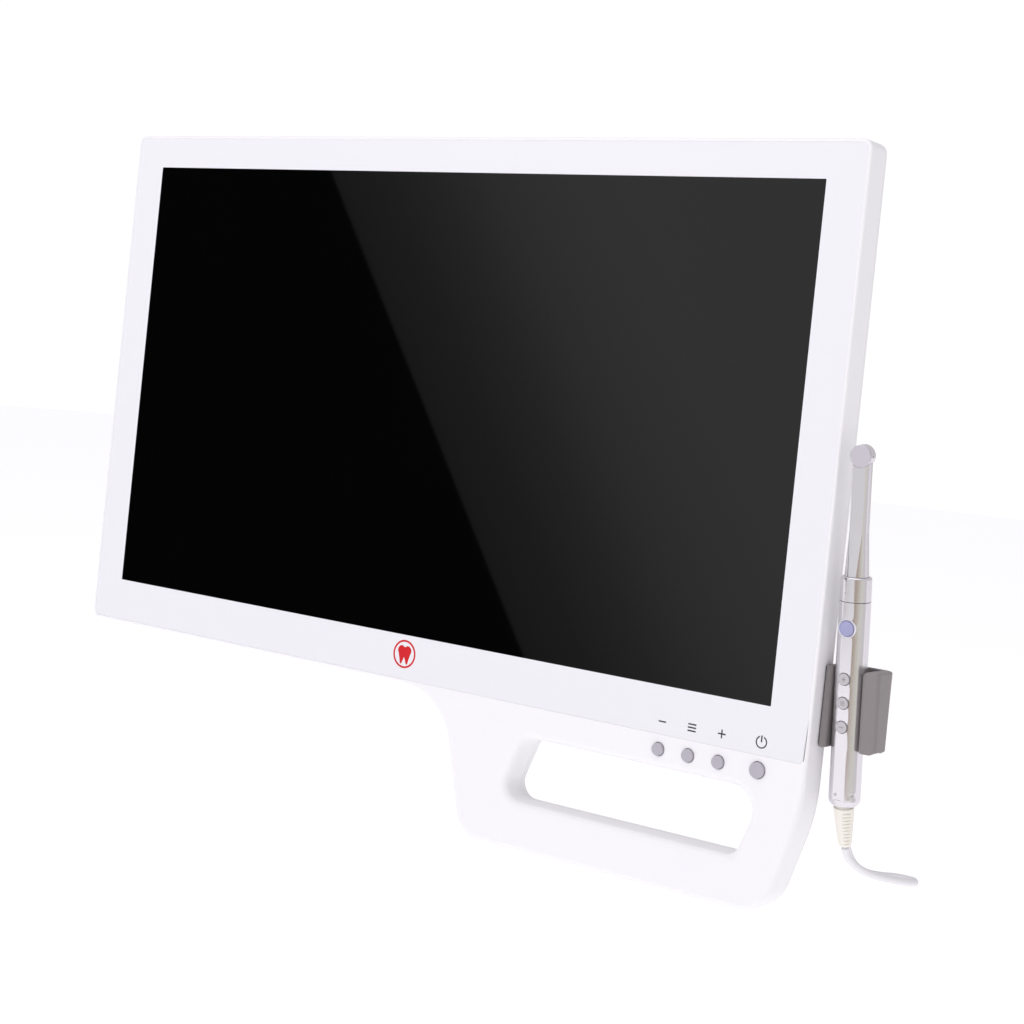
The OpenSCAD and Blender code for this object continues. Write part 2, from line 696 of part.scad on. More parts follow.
module body_shell() color("#dcdae0") on_handpiece() difference() {
    rotate_extrude($fn = 72) polygon(concat(
        [[body_r - skin, seam_w], [body_r, seam_w], [body_r + 0.05, 20], [body_end_r, body_end + 6]],
        [for (a = [0:15:90]) [body_end_r - 4.5 + 4.5 * cos(a), body_end + 4.5 - 4.5 * sin(a)]],
        [[4.6, body_end], [4.6, body_end + 2.5], [body_end_r - 3, body_end + 2.5],
         [body_end_r - skin - 0.4, body_end + 6], [body_r + 0.05 - skin, 20]]));
    flat_front(body_end + 5, seam_w + 1);
    translate([0, 0, capture_w]) peg(0, 0, capture_d / 2 + 0.9, -12, -3);
    for (w = key_ws) translate([0, 0, w]) peg(0, 0, key_d / 2 + 0.35, -12, -3);
    for (a = [-10, 53]) translate([0, 0, body_end + 8]) rotate([0, 0, a]) peg(0, 0, pin_r, -12, -3);
}

module capture_bezel() color("#e8e8f0") on_handpiece() translate([0, 0, capture_w]) difference() {
    peg(0, 0, capture_d / 2 + 0.85, -9, -5.2);
    peg(0, 0, capture_d / 2 + 0.3, -10, -5);
}

module capture_button() color("#9696c8") on_handpiece() translate([0, 0, capture_w]) {
    peg(0, 0, capture_d / 2, -9.5, -4.6);
    peg(0, 0, 1.2, -4.6, -3.4);
}

module handpiece_key(w) on_handpiece() translate([0, 0, w]) {
    peg(0, 0, key_d / 2, -9.1, -5.2);
    peg(0, 0, 1, -5.2, -3.4);
}

module key_plus() color("#c8c6cc") handpiece_key(key_ws[0]);
module key_menu() color("#c8c6cc") handpiece_key(key_ws[1]);
module key_minus() color("#c8c6cc") handpiece_key(key_ws[2]);

module control_board() color("#1f6b3a") on_handpiece() block(-5, 5, -0.6, 0.6, -34, 52);

module control_switches() color("#4a4a4e") on_handpiece() for (w = concat([capture_w], key_ws))
    translate([0, 0, w]) {
        block(-2, 2, -2.2, -0.6, -1.8, 1.8);
        peg(0, 0, 0.8, -2.5, -2.2);
    }

module signal_flex() color("#c89850") on_handpiece() block(-1.2, 1.2, -1.1, -0.9, 52.2, 134.4);

module end_cap_pins() color("#b8b6bc") on_handpiece() for (p = [[-10, 8.5], [53, 8.9]])
    translate([0, 0, body_end + 8]) rotate([0, 0, p[0]]) peg(0, 0, pin_r, -p[1], -7);

// Children follow the strain relief's own axis, pointing down from the body's end
module on_relief() on_handpiece() translate([0, 0, body_end]) rotate([relief_bend, 0, 0])
    mirror([0, 0, 1]) children();

module strain_relief() color("#f4f0e6") on_relief() difference() {
    rotate_extrude() polygon([[2.3, -2.4], [4.5, -2.4], [4.5, 0.2], [5.7, 0.3], [5.9, 0.9],
        [3.9, relief_len - 1.4], [3.2, relief_len], [2.3, relief_len]]);
    // Bending slots on two sides
    for (i = [0:9], a = [44, 224]) rotate([0, 0, a])
        translate([-8, -12, 2.4 + 2.1 * i]) cube([16, 12 - 4.9 + 0.17 * i, 0.8]);
}

module inner_cable() color("#eceaf0") on_relief() translate([0, 0, -8])
    cylinder(r = cord_d / 2, h = relief_len + 8);

front_housing();
rear_cover();
cover_glass();
glass_border_print();
lcd_panel();
optical_sheets();
light_guide();
reflector_sheet();
led_strip();
panel_frame();
chassis_plate();
main_board();
heat_sink();
power_board();
panel_ribbon();
speakers();
key_board();
key_switches();
vesa_plate();
housing_screws();
port_board();
power_socket();
hdmi_socket();
usb_sockets();
camera_socket();
panel_icons();
badge_mark();
button_minus();
button_menu();
button_plus();
button_power();
holder_clip();
holder_pad();
holder_screws();
cable_hook();
cable_tie();
cord_lead();
cord_coil();
cord_tail();
cord_plug();
head_shell();
head_cap();
lens_window();
lens_barrel();
led_ring();
sensor_board();
neck_tube();
collar_ring();
body_shell();
capture_bezel();
capture_button();
key_plus();
key_menu();
key_minus();
control_board();
control_switches();
signal_flex();
end_cap_pins();
strain_relief();
inner_cable();
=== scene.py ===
"""Looks for a chairside display with a wired intraoral camera clipped to its side.

Sizes are millimetres in the CAD frame: the origin is at the rear mounting pattern, +X is the
viewer's right, +Y the back and +Z up. Builders turn them into metres as they make each point.
"""
import json
import math

import bmesh
import bpy
from mathutils import Matrix, Vector


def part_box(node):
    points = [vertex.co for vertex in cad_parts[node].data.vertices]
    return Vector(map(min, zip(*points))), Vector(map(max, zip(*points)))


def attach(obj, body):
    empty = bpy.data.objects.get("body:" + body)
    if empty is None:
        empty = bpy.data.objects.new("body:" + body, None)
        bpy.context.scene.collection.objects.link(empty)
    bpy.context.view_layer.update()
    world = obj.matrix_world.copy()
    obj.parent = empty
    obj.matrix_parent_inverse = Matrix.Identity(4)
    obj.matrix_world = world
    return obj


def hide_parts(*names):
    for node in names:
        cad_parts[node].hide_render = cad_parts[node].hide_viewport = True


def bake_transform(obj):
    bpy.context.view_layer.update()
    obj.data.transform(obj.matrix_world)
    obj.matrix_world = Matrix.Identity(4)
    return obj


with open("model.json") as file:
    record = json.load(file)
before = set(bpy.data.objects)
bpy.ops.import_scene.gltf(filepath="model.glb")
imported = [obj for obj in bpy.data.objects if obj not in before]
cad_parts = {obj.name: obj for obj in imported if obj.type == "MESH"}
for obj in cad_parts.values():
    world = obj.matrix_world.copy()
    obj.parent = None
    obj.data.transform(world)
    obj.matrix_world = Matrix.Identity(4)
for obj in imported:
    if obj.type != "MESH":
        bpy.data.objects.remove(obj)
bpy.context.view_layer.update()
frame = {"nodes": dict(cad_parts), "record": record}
nodes = frame["nodes"]
MM = 0.001

# ---- camera, light and surroundings ----

CAMERA_AT = (0.7700, -1.0214, 0.0044)
CAMERA_TURN = (89.017, -5.900, 35.706)
GLASS_FACE = -45.6
FLOOR_Z = -0.42
FLOOR_HALF = 12


def add_camera():
    """The photographer's camera: from the right, level with the display's middle."""
    data = bpy.data.cameras.new("camera")
    data.lens = 68.49
    data.sensor_width = 36
    data.shift_x = -0.0056
    data.shift_y = -0.0706
    camera = bpy.data.objects.new("camera", data)
    camera.location = CAMERA_AT
    camera.rotation_euler = [math.radians(a) for a in CAMERA_TURN]
    bpy.context.scene.collection.objects.link(camera)
    bpy.context.scene.camera = camera


def azimuth(tree, place):
    """The angle round Z of a vector socket: 0 at the front, and positive to the viewer's right."""
    put = tree.nodes.new
    join = tree.links.new
    axes = put("ShaderNodeSeparateXYZ")
    join(place, axes.inputs[0])
    ahead = put("ShaderNodeMath")
    ahead.operation = "MULTIPLY"
    ahead.inputs[1].default_value = -1
    join(axes.outputs["Y"], ahead.inputs[0])
    angle = put("ShaderNodeMath")
    angle.operation = "ARCTAN2"
    join(axes.outputs["X"], angle.inputs[0])
    join(ahead.outputs[0], angle.inputs[1])
    return angle.outputs[0]


def ramped(tree, value, low, high, stops):
    """A colour that goes through (position, colour) stops as the value goes from low to high."""
    share = tree.nodes.new("ShaderNodeMapRange")
    share.inputs["From Min"].default_value = low
    share.inputs["From Max"].default_value = high
    tree.links.new(value, share.inputs["Value"])
    node = tree.nodes.new("ShaderNodeValToRGB")
    tree.links.new(share.outputs[0], node.inputs["Fac"])
    elements = node.color_ramp.elements
    elements.remove(elements[-1])
    elements[0].position = stops[0][0]
    elements[0].color = (*stops[0][1], 1)
    for position, colour in stops[1:]:
        elements.new(position).color = (*colour, 1)
    return node.outputs["Color"]


def add_world():
    """A white studio whose light is a little brighter and cooler from the front."""
    world = bpy.data.worlds.new("studio")
    world.use_nodes = True
    bpy.context.scene.world = world
    tree = world.node_tree
    tree.nodes.clear()
    put = tree.nodes.new
    coords = put("ShaderNodeTexCoord")
    # Azimuth in degrees, and the light from there
    sides = [(-180, (0.92, 0.90, 0.92)), (-60, (0.93, 0.92, 0.96)), (0, (0.96, 0.94, 1.0)),
             (180, (0.92, 0.90, 0.92))]
    stops = [((angle + 180) / 360, colour) for angle, colour in sides]
    around = ramped(tree, azimuth(tree, coords.outputs["Generated"]), -math.pi, math.pi, stops)
    lit = put("ShaderNodeBackground")
    lit.inputs["Strength"].default_value = 0.64
    tree.links.new(around, lit.inputs["Color"])
    seen = put("ShaderNodeBackground")
    seen.inputs["Color"].default_value = (1, 1, 1, 1)
    seen.inputs["Strength"].default_value = 1.05
    paths = put("ShaderNodeLightPath")
    choose = put("ShaderNodeMixShader")
    tree.links.new(paths.outputs["Is Camera Ray"], choose.inputs["Fac"])
    tree.links.new(lit.outputs[0], choose.inputs[1])
    tree.links.new(seen.outputs[0], choose.inputs[2])
    out = put("ShaderNodeOutputWorld")
    tree.links.new(choose.outputs[0], out.inputs["Surface"])
    bpy.context.scene.view_settings.view_transform = "Standard"


def add_light(name, at, to, size, power, colour=(1, 1, 1)):
    """A rectangular lamp at one place that faces another."""
    data = bpy.data.lights.new(name, "AREA")
    data.shape = "RECTANGLE"
    data.size, data.size_y = size
    data.energy = power
    data.color = colour
    lamp = bpy.data.objects.new(name, data)
    lamp.location = at
    lamp.rotation_euler = (Vector(to) - Vector(at)).to_track_quat("-Z", "Y").to_euler()
    bpy.context.scene.collection.objects.link(lamp)


def stage_object(name, points, faces, material):
    """A piece of the studio, which is no part of the object."""
    mesh = bpy.data.meshes.new(name)
    mesh.from_pydata(points, [], faces)
    mesh.materials.append(material)
    obj = bpy.data.objects.new(name, mesh)
    bpy.context.scene.collection.objects.link(obj)
    return obj


def plain(name, colour, glow):
    """A dull surface that also gives off a share of its own colour."""
    material = bpy.data.materials.new(name)
    material.use_nodes = True
    shader = material.node_tree.nodes["Principled BSDF"]
    shader.inputs["Base Color"].default_value = (*colour, 1)
    shader.inputs["Roughness"].default_value = 0.8
    shader.inputs["Specular IOR Level"].default_value = 0.0
    shader.inputs["Emission Color"].default_value = (*colour, 1)
    shader.inputs["Emission Strength"].default_value = glow
    return material


def add_floor():
    """A pale floor, lit so far that it joins the white backdrop, and 1 mm over it a greyer one
    that only the reflections see."""
    floors = [("floor", FLOOR_Z, (0.96, 0.96, 0.965)),
              ("mirrored_floor", FLOOR_Z + MM, (0.83, 0.81, 0.84))]
    for name, z, colour in floors:
        corners = [(x, y, z) for x, y in ((-FLOOR_HALF, -FLOOR_HALF), (FLOOR_HALF, -FLOOR_HALF),
                                          (FLOOR_HALF, FLOOR_HALF), (-FLOOR_HALF, FLOOR_HALF))]
        floor = stage_object(name, corners, [range(4)], plain(name, colour, glow=0.42))
        mirrored = name == "mirrored_floor"
        floor.visible_glossy = mirrored
        floor.visible_camera = not mirrored
        floor.visible_diffuse = not mirrored
        floor.visible_shadow = not mirrored


def glowing(name):
    """A material that only glows, with its tree, the place it is asked for and its colour input."""
    material = bpy.data.materials.new(name)
    material.use_nodes = True
    tree = material.node_tree
    tree.nodes.clear()
    coords = tree.nodes.new("ShaderNodeTexCoord")
    emit = tree.nodes.new("ShaderNodeEmission")
    out = tree.nodes.new("ShaderNodeOutputMaterial")
    tree.links.new(emit.outputs[0], out.inputs["Surface"])
    return material, tree, coords.outputs["Object"], emit.inputs["Color"]


def add_card(name, points, faces, material, at):
    """A glowing card that is seen in reflections alone."""
    card = stage_object(name, points, faces, material)
    card.location = at
    card.visible_camera = False
    card.visible_diffuse = False
    card.visible_shadow = False
    card.visible_transmission = False


def add_reflected_card():
    """What the glass reflects: black left of a slanted line, then a glow that grows rightwards."""
    card_y = -0.9
    fade = 0.36
    # The slanted line's ends on the glass, in x and z
    top, bottom = (-103.0, 148.2), (93.5, -147.4)
    eye = Vector(CAMERA_AT)
    mirrored = Vector((eye.x, 2 * GLASS_FACE * MM - eye.y, eye.z))

    def thrown(x, z):
        spot = Vector((x * MM, GLASS_FACE * MM, z * MM))
        ray = spot - mirrored
        return spot + ray * (card_y - spot.y) / ray.y

    high, low = thrown(*top), thrown(*bottom)
    along = (high - low).normalized()
    material, tree, place, colour = glowing("reflected_card")
    distance = tree.nodes.new("ShaderNodeVectorMath")
    distance.operation = "DOT_PRODUCT"
    distance.inputs[1].default_value = Vector((along.z, 0, -along.x))
    tree.links.new(place, distance.inputs[0])
    levels = [(0.0, 0.0), (0.4985, 0.0), (0.5, 0.17), (0.60, 0.24), (0.70, 0.36), (0.80, 0.54),
              (0.90, 0.66), (1.0, 0.72)]
    stops = [(position, (level, level, level * 1.01)) for position, level in levels]
    tree.links.new(ramped(tree, distance.outputs["Value"], -fade, fade, stops), colour)
    corners = [(-3.2, -0.41), (0.9, -0.41), (0.9, 1.6), (-3.2, 1.6)]
    points = [Vector((x, card_y, z)) - low for x, z in corners]
    add_card("reflected_card", points, [range(4)], material, low)


def add_stripe_card():
    """A brown panel turning to green and grey, seen only in the satin handpiece as its stripes."""
    # The card's ends, as azimuths from the handpiece
    first, last = math.radians(14), math.radians(112)
    reach = 0.55
    bays = 16
    material, tree, place, colour = glowing("stripe_card")
    stops = [(0.0, (0.60, 0.53, 0.47)), (0.05, (0.37, 0.295, 0.235)), (0.20, (0.42, 0.345, 0.28)),
             (0.40, (0.56, 0.53, 0.46)), (0.62, (0.66, 0.66, 0.60)), (0.86, (0.58, 0.56, 0.59)),
             (1.0, (0.68, 0.66, 0.68))]
    tree.links.new(ramped(tree, azimuth(tree, place), first, last, stops), colour)
    points = []
    for k in range(bays + 1):
        a = first + (last - first) * k / bays
        points += [(reach * math.sin(a), -reach * math.cos(a), z) for z in (-0.315, 0.30)]
    faces = [[2 * k, 2 * k + 2, 2 * k + 3, 2 * k + 1] for k in range(bays)]
    add_card("stripe_card", points, faces, material, (0.303, -0.03, -0.10))


# ---- materials ----

def look(name, colour, rough=0.4, metal=0.0, specular=0.5, coat=0.0, grain=0.4, depth=0.0,
         pebbled=False, mottle=0.02, mottle_size=25.0, wear=0.05, stretch=(1, 1, 1)):
    """A moulded, printed or metal surface: slow shifts of tone, uneven gloss and a fine grain.

    grain is the grain's width and depth its height, and mottle_size the width of the tone's
    patches, all in millimetres. mottle and wear are shares of the colour and the roughness.
    """
    material = bpy.data.materials.new(name)
    material.use_nodes = True
    tree = material.node_tree
    shader = tree.nodes["Principled BSDF"]
    shader.inputs["Metallic"].default_value = metal
    shader.inputs["Specular IOR Level"].default_value = specular
    shader.inputs["Coat Weight"].default_value = coat
    shader.inputs["Coat Roughness"].default_value = 0.08
    put = tree.nodes.new
    join = tree.links.new
    coords = put("ShaderNodeTexCoord")
    place = put("ShaderNodeMapping")
    place.inputs["Scale"].default_value = stretch
    join(coords.outputs["Object"], place.inputs["Vector"])

    patches = put("ShaderNodeTexNoise")
    patches.inputs["Scale"].default_value = 1 / (mottle_size * MM)
    patches.inputs["Detail"].default_value = 4
    join(place.outputs[0], patches.inputs["Vector"])
    tone = put("ShaderNodeMix")
    tone.data_type = "RGBA"
    tone.inputs["A"].default_value = (*[c * (1 - mottle) for c in colour], 1)
    tone.inputs["B"].default_value = (*[min(1, c * (1 + mottle)) for c in colour], 1)
    join(patches.outputs["Fac"], tone.inputs["Factor"])
    join(tone.outputs["Result"], shader.inputs["Base Color"])

    rubs = put("ShaderNodeTexNoise")
    rubs.inputs["Scale"].default_value = 3 / (mottle_size * MM)
    rubs.inputs["Detail"].default_value = 8
    rubs.inputs["Roughness"].default_value = 0.65
    join(place.outputs[0], rubs.inputs["Vector"])
    gloss = put("ShaderNodeMapRange")
    gloss.inputs["To Min"].default_value = max(0.0, rough - wear)
    gloss.inputs["To Max"].default_value = rough + wear
    join(rubs.outputs["Fac"], gloss.inputs["Value"])
    join(gloss.outputs["Result"], shader.inputs["Roughness"])

    if depth:
        fine = put("ShaderNodeTexVoronoi" if pebbled else "ShaderNodeTexNoise")
        fine.inputs["Scale"].default_value = 1 / (grain * MM)
        join(place.outputs[0], fine.inputs["Vector"])
        bump = put("ShaderNodeBump")
        bump.inputs["Strength"].default_value = 1
        bump.inputs["Distance"].default_value = depth * MM
        join(fine.outputs[0], bump.inputs["Height"])
        join(bump.outputs["Normal"], shader.inputs["Normal"])
    return material


def add_tracks(material, mask):
    """A grid of copper tracks under the solder mask of a circuit board."""
    copper = (0.05, 0.24, 0.1)
    tree = material.node_tree
    shader = tree.nodes["Principled BSDF"]
    coords = tree.nodes.new("ShaderNodeTexCoord")
    tracks = tree.nodes.new("ShaderNodeTexBrick")
    tracks.inputs["Scale"].default_value = 1 / (9 * MM)
    tracks.inputs["Mortar Size"].default_value = 0.03
    tracks.inputs["Color1"].default_value = (*mask, 1)
    tracks.inputs["Color2"].default_value = (*[c * 0.75 for c in mask], 1)
    tracks.inputs["Mortar"].default_value = (*copper, 1)
    flat = tree.nodes.new("ShaderNodeMapping")
    flat.inputs["Rotation"].default_value = (math.pi / 2, 0, 0)
    tree.links.new(coords.outputs["Object"], flat.inputs["Vector"])
    tree.links.new(flat.outputs[0], tracks.inputs["Vector"])
    tree.links.new(tracks.outputs["Color"], shader.inputs["Base Color"])


LOOKS = {
    "case_white": dict(colour=(0.905, 0.896, 0.915), rough=0.34, specular=0.3, mottle=0.006,
                       mottle_size=60, grain=0.6, depth=0.004),
    "cover_white": dict(colour=(0.88, 0.872, 0.885), rough=0.5, specular=0.35, mottle=0.012,
                        grain=0.55, depth=0.02, pebbled=True),
    "border_white": dict(colour=(0.855, 0.848, 0.88), rough=0.12, specular=0.3, mottle=0.004,
                         mottle_size=80, wear=0.03),
    "front_glass": dict(colour=(0.0012, 0.0012, 0.0014), rough=0.03, mottle=0.2, mottle_size=120,
                        wear=0.01),
    "panel_black": dict(colour=(0.004, 0.004, 0.005), rough=0.3),
    "sheet_white": dict(colour=(0.9, 0.9, 0.9), rough=0.5, depth=0.01),
    "guide_clear": dict(colour=(0.8, 0.86, 0.88), rough=0.1, coat=0.5),
    "led_yellow": dict(colour=(0.85, 0.72, 0.3), rough=0.4, mottle=0.1, mottle_size=3),
    "sheet_steel": dict(colour=(0.56, 0.57, 0.59), rough=0.34, metal=1, mottle=0.08, mottle_size=8,
                        wear=0.08, grain=0.5, depth=0.006),
    "board_green": dict(colour=(0.02, 0.13, 0.055), rough=0.3, mottle=0.08, mottle_size=12),
    "chip_black": dict(colour=(0.02, 0.02, 0.022), rough=0.5, grain=0.3, depth=0.01),
    "fin_aluminium": dict(colour=(0.6, 0.62, 0.65), rough=0.35, metal=1, stretch=(1, 1, 12),
                          grain=0.4, depth=0.01),
    "flex_amber": dict(colour=(0.62, 0.36, 0.1), rough=0.3, mottle=0.1, mottle_size=6),
    "screw_steel": dict(colour=(0.58, 0.58, 0.6), rough=0.28, metal=1, mottle=0.06, mottle_size=2,
                        wear=0.08, grain=0.2, depth=0.004),
    "socket_metal": dict(colour=(0.62, 0.63, 0.65), rough=0.3, metal=1, mottle=0.05, mottle_size=4,
                         grain=0.2, depth=0.004),
    "icon_dark": dict(colour=(0.02, 0.02, 0.026), rough=0.4),
    "badge_red": dict(colour=(0.66, 0.006, 0.012), rough=0.3, mottle=0.03, mottle_size=5),
    "button_grey": dict(colour=(0.46, 0.44, 0.49), rough=0.42, mottle=0.02, mottle_size=3,
                        grain=0.15, depth=0.006),
    "clip_grey": dict(colour=(0.235, 0.212, 0.212), rough=0.42, specular=0.7, mottle=0.05,
                      mottle_size=5, grain=0.32, depth=0.03, pebbled=True, wear=0.06),
    "pad_grey": dict(colour=(0.06, 0.06, 0.065), rough=0.9, grain=0.4, depth=0.06),
    "tie_dark": dict(colour=(0.035, 0.035, 0.04), rough=0.85, grain=0.35, depth=0.08,
                     stretch=(1, 1, 1.6)),
    "cord_white": dict(colour=(0.86, 0.845, 0.87), rough=0.42, specular=0.4, mottle=0.015,
                       mottle_size=8, grain=0.5, depth=0.012),
    "plug_metal": dict(colour=(0.66, 0.66, 0.69), rough=0.3, metal=1, mottle=0.04, mottle_size=5,
                       stretch=(1, 1, 10), grain=0.3, depth=0.006),
    "satin_silver": dict(colour=(0.83, 0.81, 0.835), rough=0.19, metal=0.93, mottle=0.02,
                         mottle_size=10, wear=0.05, grain=0.12, depth=0.0015),
    "cap_silver": dict(colour=(0.74, 0.70, 0.77), rough=0.34, metal=0.8, mottle=0.02, mottle_size=4,
                       grain=0.12, depth=0.0015),
    "lens_glass": dict(colour=(0.01, 0.015, 0.03), rough=0.05, coat=1),
    "bezel_pearl": dict(colour=(0.84, 0.84, 0.92), rough=0.2, coat=0.5),
    "capture_blue": dict(colour=(0.35, 0.35, 0.56), rough=0.25, coat=0.4, mottle=0.12,
                         mottle_size=5),
    "key_silver": dict(colour=(0.56, 0.54, 0.56), rough=0.34, metal=0.4, mottle=0.04,
                       mottle_size=3, grain=0.15, depth=0.004),
    "relief_cream": dict(colour=(0.88, 0.85, 0.775), rough=0.45, specular=0.4, mottle=0.03,
                         mottle_size=4, grain=0.4, depth=0.015),
}
made = {}


def finish_of(slot):
    """The material of a slot, made once."""
    if slot not in made:
        made[slot] = look(slot, **LOOKS[slot])
        if slot == "board_green":
            add_tracks(made[slot], LOOKS[slot]["colour"])
    return made[slot]


# ---- mesh building ----

def direction(a, b):
    """The unit vector from one point to another, in their first two coordinates."""
    return (Vector(b[:2]) - Vector(a[:2])).normalized()


def edge_line(corners, steps=8, spacing=40):
    """A closed line round corner points (x, z, radius), anticlockwise, as pairs of a point and the
    way inward there. Long straight stretches get a point at least every spacing."""
    line = []
    for i, corner in enumerate(corners):
        into = direction(corners[i - 1], corner)
        out = direction(corner, corners[(i + 1) % len(corners)])
        here = Vector(corner[:2])
        bend = math.atan2(into.cross(out), into.dot(out))
        cut = corner[2] * math.tan(abs(bend) / 2)
        side = math.copysign(1, bend)
        normal = Vector((-into.y, into.x))
        middle = here - into * cut + normal * side * corner[2]
        for k in range(steps + 1):
            inward = Matrix.Rotation(bend * k / steps, 2) @ normal
            line.append((middle - inward * side * corner[2], inward))
    full = []
    for i, (point, inward) in enumerate(line):
        full.append((point, inward))
        after = line[(i + 1) % len(line)][0]
        extra = int((after - point).length / spacing)
        full += [(point.lerp(after, k / (extra + 1)), inward) for k in range(1, extra + 1)]
    return full


def round_line(x, z, r, steps=40):
    """A circle in the same form as edge_line."""
    turns = [math.tau * k / steps for k in range(steps)]
    ways = [Vector((math.cos(a), math.sin(a))) for a in turns]
    return [(Vector((x, z)) + way * r, -way) for way in ways]


def box_line(x0, x1, z0, z1, r=0.4, steps=4):
    """A rectangle with rounded corners, in the same form as edge_line."""
    corners = [(x1, z1, r), (x0, z1, r), (x0, z0, r), (x1, z0, r)]
    return edge_line(corners, steps)


def shifted(line, inward, y):
    """The line moved inwards at depth y, as points. Both may be numbers or functions of a point."""
    points = []
    for point, way in line:
        t = inward(point) if callable(inward) else inward
        depth = y(point) if callable(y) else y
        spot = point + way * t
        points.append((spot.x, depth, spot.y))
    return points


class Skin:
    """A mesh put together from closed rings of points."""

    def __init__(self):
        self.mesh = bmesh.new()

    def ring(self, points):
        """New vertices at points given in millimetres."""
        return [self.mesh.verts.new([c * MM for c in p]) for p in points]

    def rings(self, line, steps):
        """One ring for each (inward, y) step, joined in order; returns the first and the last."""
        made_rings = [self.ring(shifted(line, inward, y)) for inward, y in steps]
        for a, b in zip(made_rings, made_rings[1:]):
            self.band(a, b)
        return made_rings[0], made_rings[-1]

    def band(self, a, b, skip=()):
        """Faces between two rings of the same length."""
        for i in range(len(a)):
            j = (i + 1) % len(a)
            if i not in skip:
                self.mesh.faces.new((a[i], a[j], b[j], b[i]))

    def fill(self, *rings):
        """Flat faces within the first ring and outside the others."""
        edges = []
        for ring in rings:
            for i, vert in enumerate(ring):
                pair = (ring[i - 1], vert)
                edges.append(self.mesh.edges.get(pair) or self.mesh.edges.new(pair))
        bmesh.ops.triangle_fill(self.mesh, edges=edges, use_beauty=True)

    def make(self, name, slot, body, crease=35):
        """The finished object, riding on its body, with hard edges where faces meet sharply."""
        bmesh.ops.recalc_face_normals(self.mesh, faces=self.mesh.faces)
        for face in self.mesh.faces:
            face.smooth = True
        for edge in self.mesh.edges:
            sharp = len(edge.link_faces) == 2 and edge.calc_face_angle() > math.radians(crease)
            edge.smooth = not sharp
        mesh = bpy.data.meshes.new(name)
        self.mesh.to_mesh(mesh)
        self.mesh.free()
        mesh.materials.append(finish_of(slot))
        obj = bpy.data.objects.new(name, mesh)
        bpy.context.scene.collection.objects.link(obj)
        obj.modifiers.new("normals", "WEIGHTED_NORMAL").keep_sharp = True
        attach(obj, body)
        return obj


def quarter(steps):
    """The angles of a quarter turn in equal steps."""
    return [math.pi / 2 * k / steps for k in range(steps + 1)]


def rounding(r, y0, steps=6):
    """Steps (inward, y) over a rounded edge that starts r inwards on a face at y0 and ends on the
    wall, going along +Y. r may be a function of the point."""
    if callable(r):
        return [((lambda p, a=a: r(p) * (1 - math.sin(a))),
                 (lambda p, a=a: y0 + r(p) * (1 - math.cos(a)))) for a in quarter(steps)]
    return [(r * (1 - math.sin(a)), y0 + r * (1 - math.cos(a))) for a in quarter(steps)]


def outward(steps):
    """The same steps for a hole, whose material lies outside its line."""
    def turned(t):
        return (lambda p: -t(p)) if callable(t) else -t
    return [(turned(t), y) for t, y in steps]


def soften(node, width):
    """Rounds the hard edges of a CAD node with modifiers; its own mesh stays as it is."""
    obj = nodes[node]
    for polygon in obj.data.polygons:
        polygon.use_smooth = True
    weld = obj.modifiers.new("weld", "WELD")
    weld.merge_threshold = 0.002 * MM
    flat = obj.modifiers.new("flat", "DECIMATE")
    flat.decimate_type = "DISSOLVE"
    flat.angle_limit = math.radians(0.6)
    bevel = obj.modifiers.new("edges", "BEVEL")
    bevel.width = width * MM
    bevel.segments = 3
    bevel.limit_method = "ANGLE"
    bevel.angle_limit = math.radians(32)
    bevel.use_clamp_overlap = True
    obj.modifiers.new("normals", "WEIGHTED_NORMAL").keep_sharp = False


# ---- display ----

# Edges of the housing, from the CAD, then its inner depths along Y
front_box = [Vector(c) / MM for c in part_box("front_housing")]
FRONT = front_box[0].y
SEAM = front_box[1].y
CASE_X = front_box[1].x
CASE_TOP = front_box[1].z
HANDLE_BOTTOM = front_box[0].z
CASE_BOTTOM = HANDLE_BOTTOM + 87
BACK = FRONT + 23.7
WALL = 2.5
# A flat strip beside each rounded edge keeps the shading of the flat face flat
STRIP = 0.3
LEDGE = FRONT + 5
CHIN = FRONT + 2.6
SEAT = GLASS_FACE + 2.5
SEAM_GROOVE = 0.3

# Outlines as corners (x, z, radius)
CASE = [(CASE_X, CASE_TOP, 6), (-CASE_X, CASE_TOP, 6), (-CASE_X, CASE_BOTTOM, 6),
        (32.1, CASE_BOTTOM, 39.4), (56.1, HANDLE_BOTTOM, 18), (271.4, HANDLE_BOTTOM, 24),
        (CASE_X, CASE_BOTTOM - 27.5, 110)]
SLOT = [(263.5, CASE_BOTTOM - 17.8, 14), (99, CASE_BOTTOM - 17.8, 10),
        (84.2, CASE_BOTTOM - 57.5, 10), (248.7, CASE_BOTTOM - 57.5, 8)]
# Rectangles as left, right, bottom and top
GLASS = (-287.4, 287.4, -176.4, 168.9)
PICTURE = (-263.5, 263.5, -148.2, 148.2)
# Middle (x, z) and width of each button, and the middles of the housing's screws
BUTTONS = {"button_minus": (194, -185.2, 7.6), "button_menu": (214.1, -185.2, 7.6),
           "button_plus": (234.1, -185.2, 7.6), "button_power": (259.5, -184.9, 9.3)}
SCREWS = [(-278, 162), (-95, 162), (95, 162), (278, 162), (-278, -166), (-95, -166),
          (75, -251), (254, -251), (271.5, -215), (278, -160)]


def front_edge(point):
    """Radius of the housing's front edge: slim along the display, fuller round the handle."""
    share = min(1, max(0, (CASE_BOTTOM - point.y) / 26))
    return 1.4 + 2.4 * share * share * (3 - 2 * share)


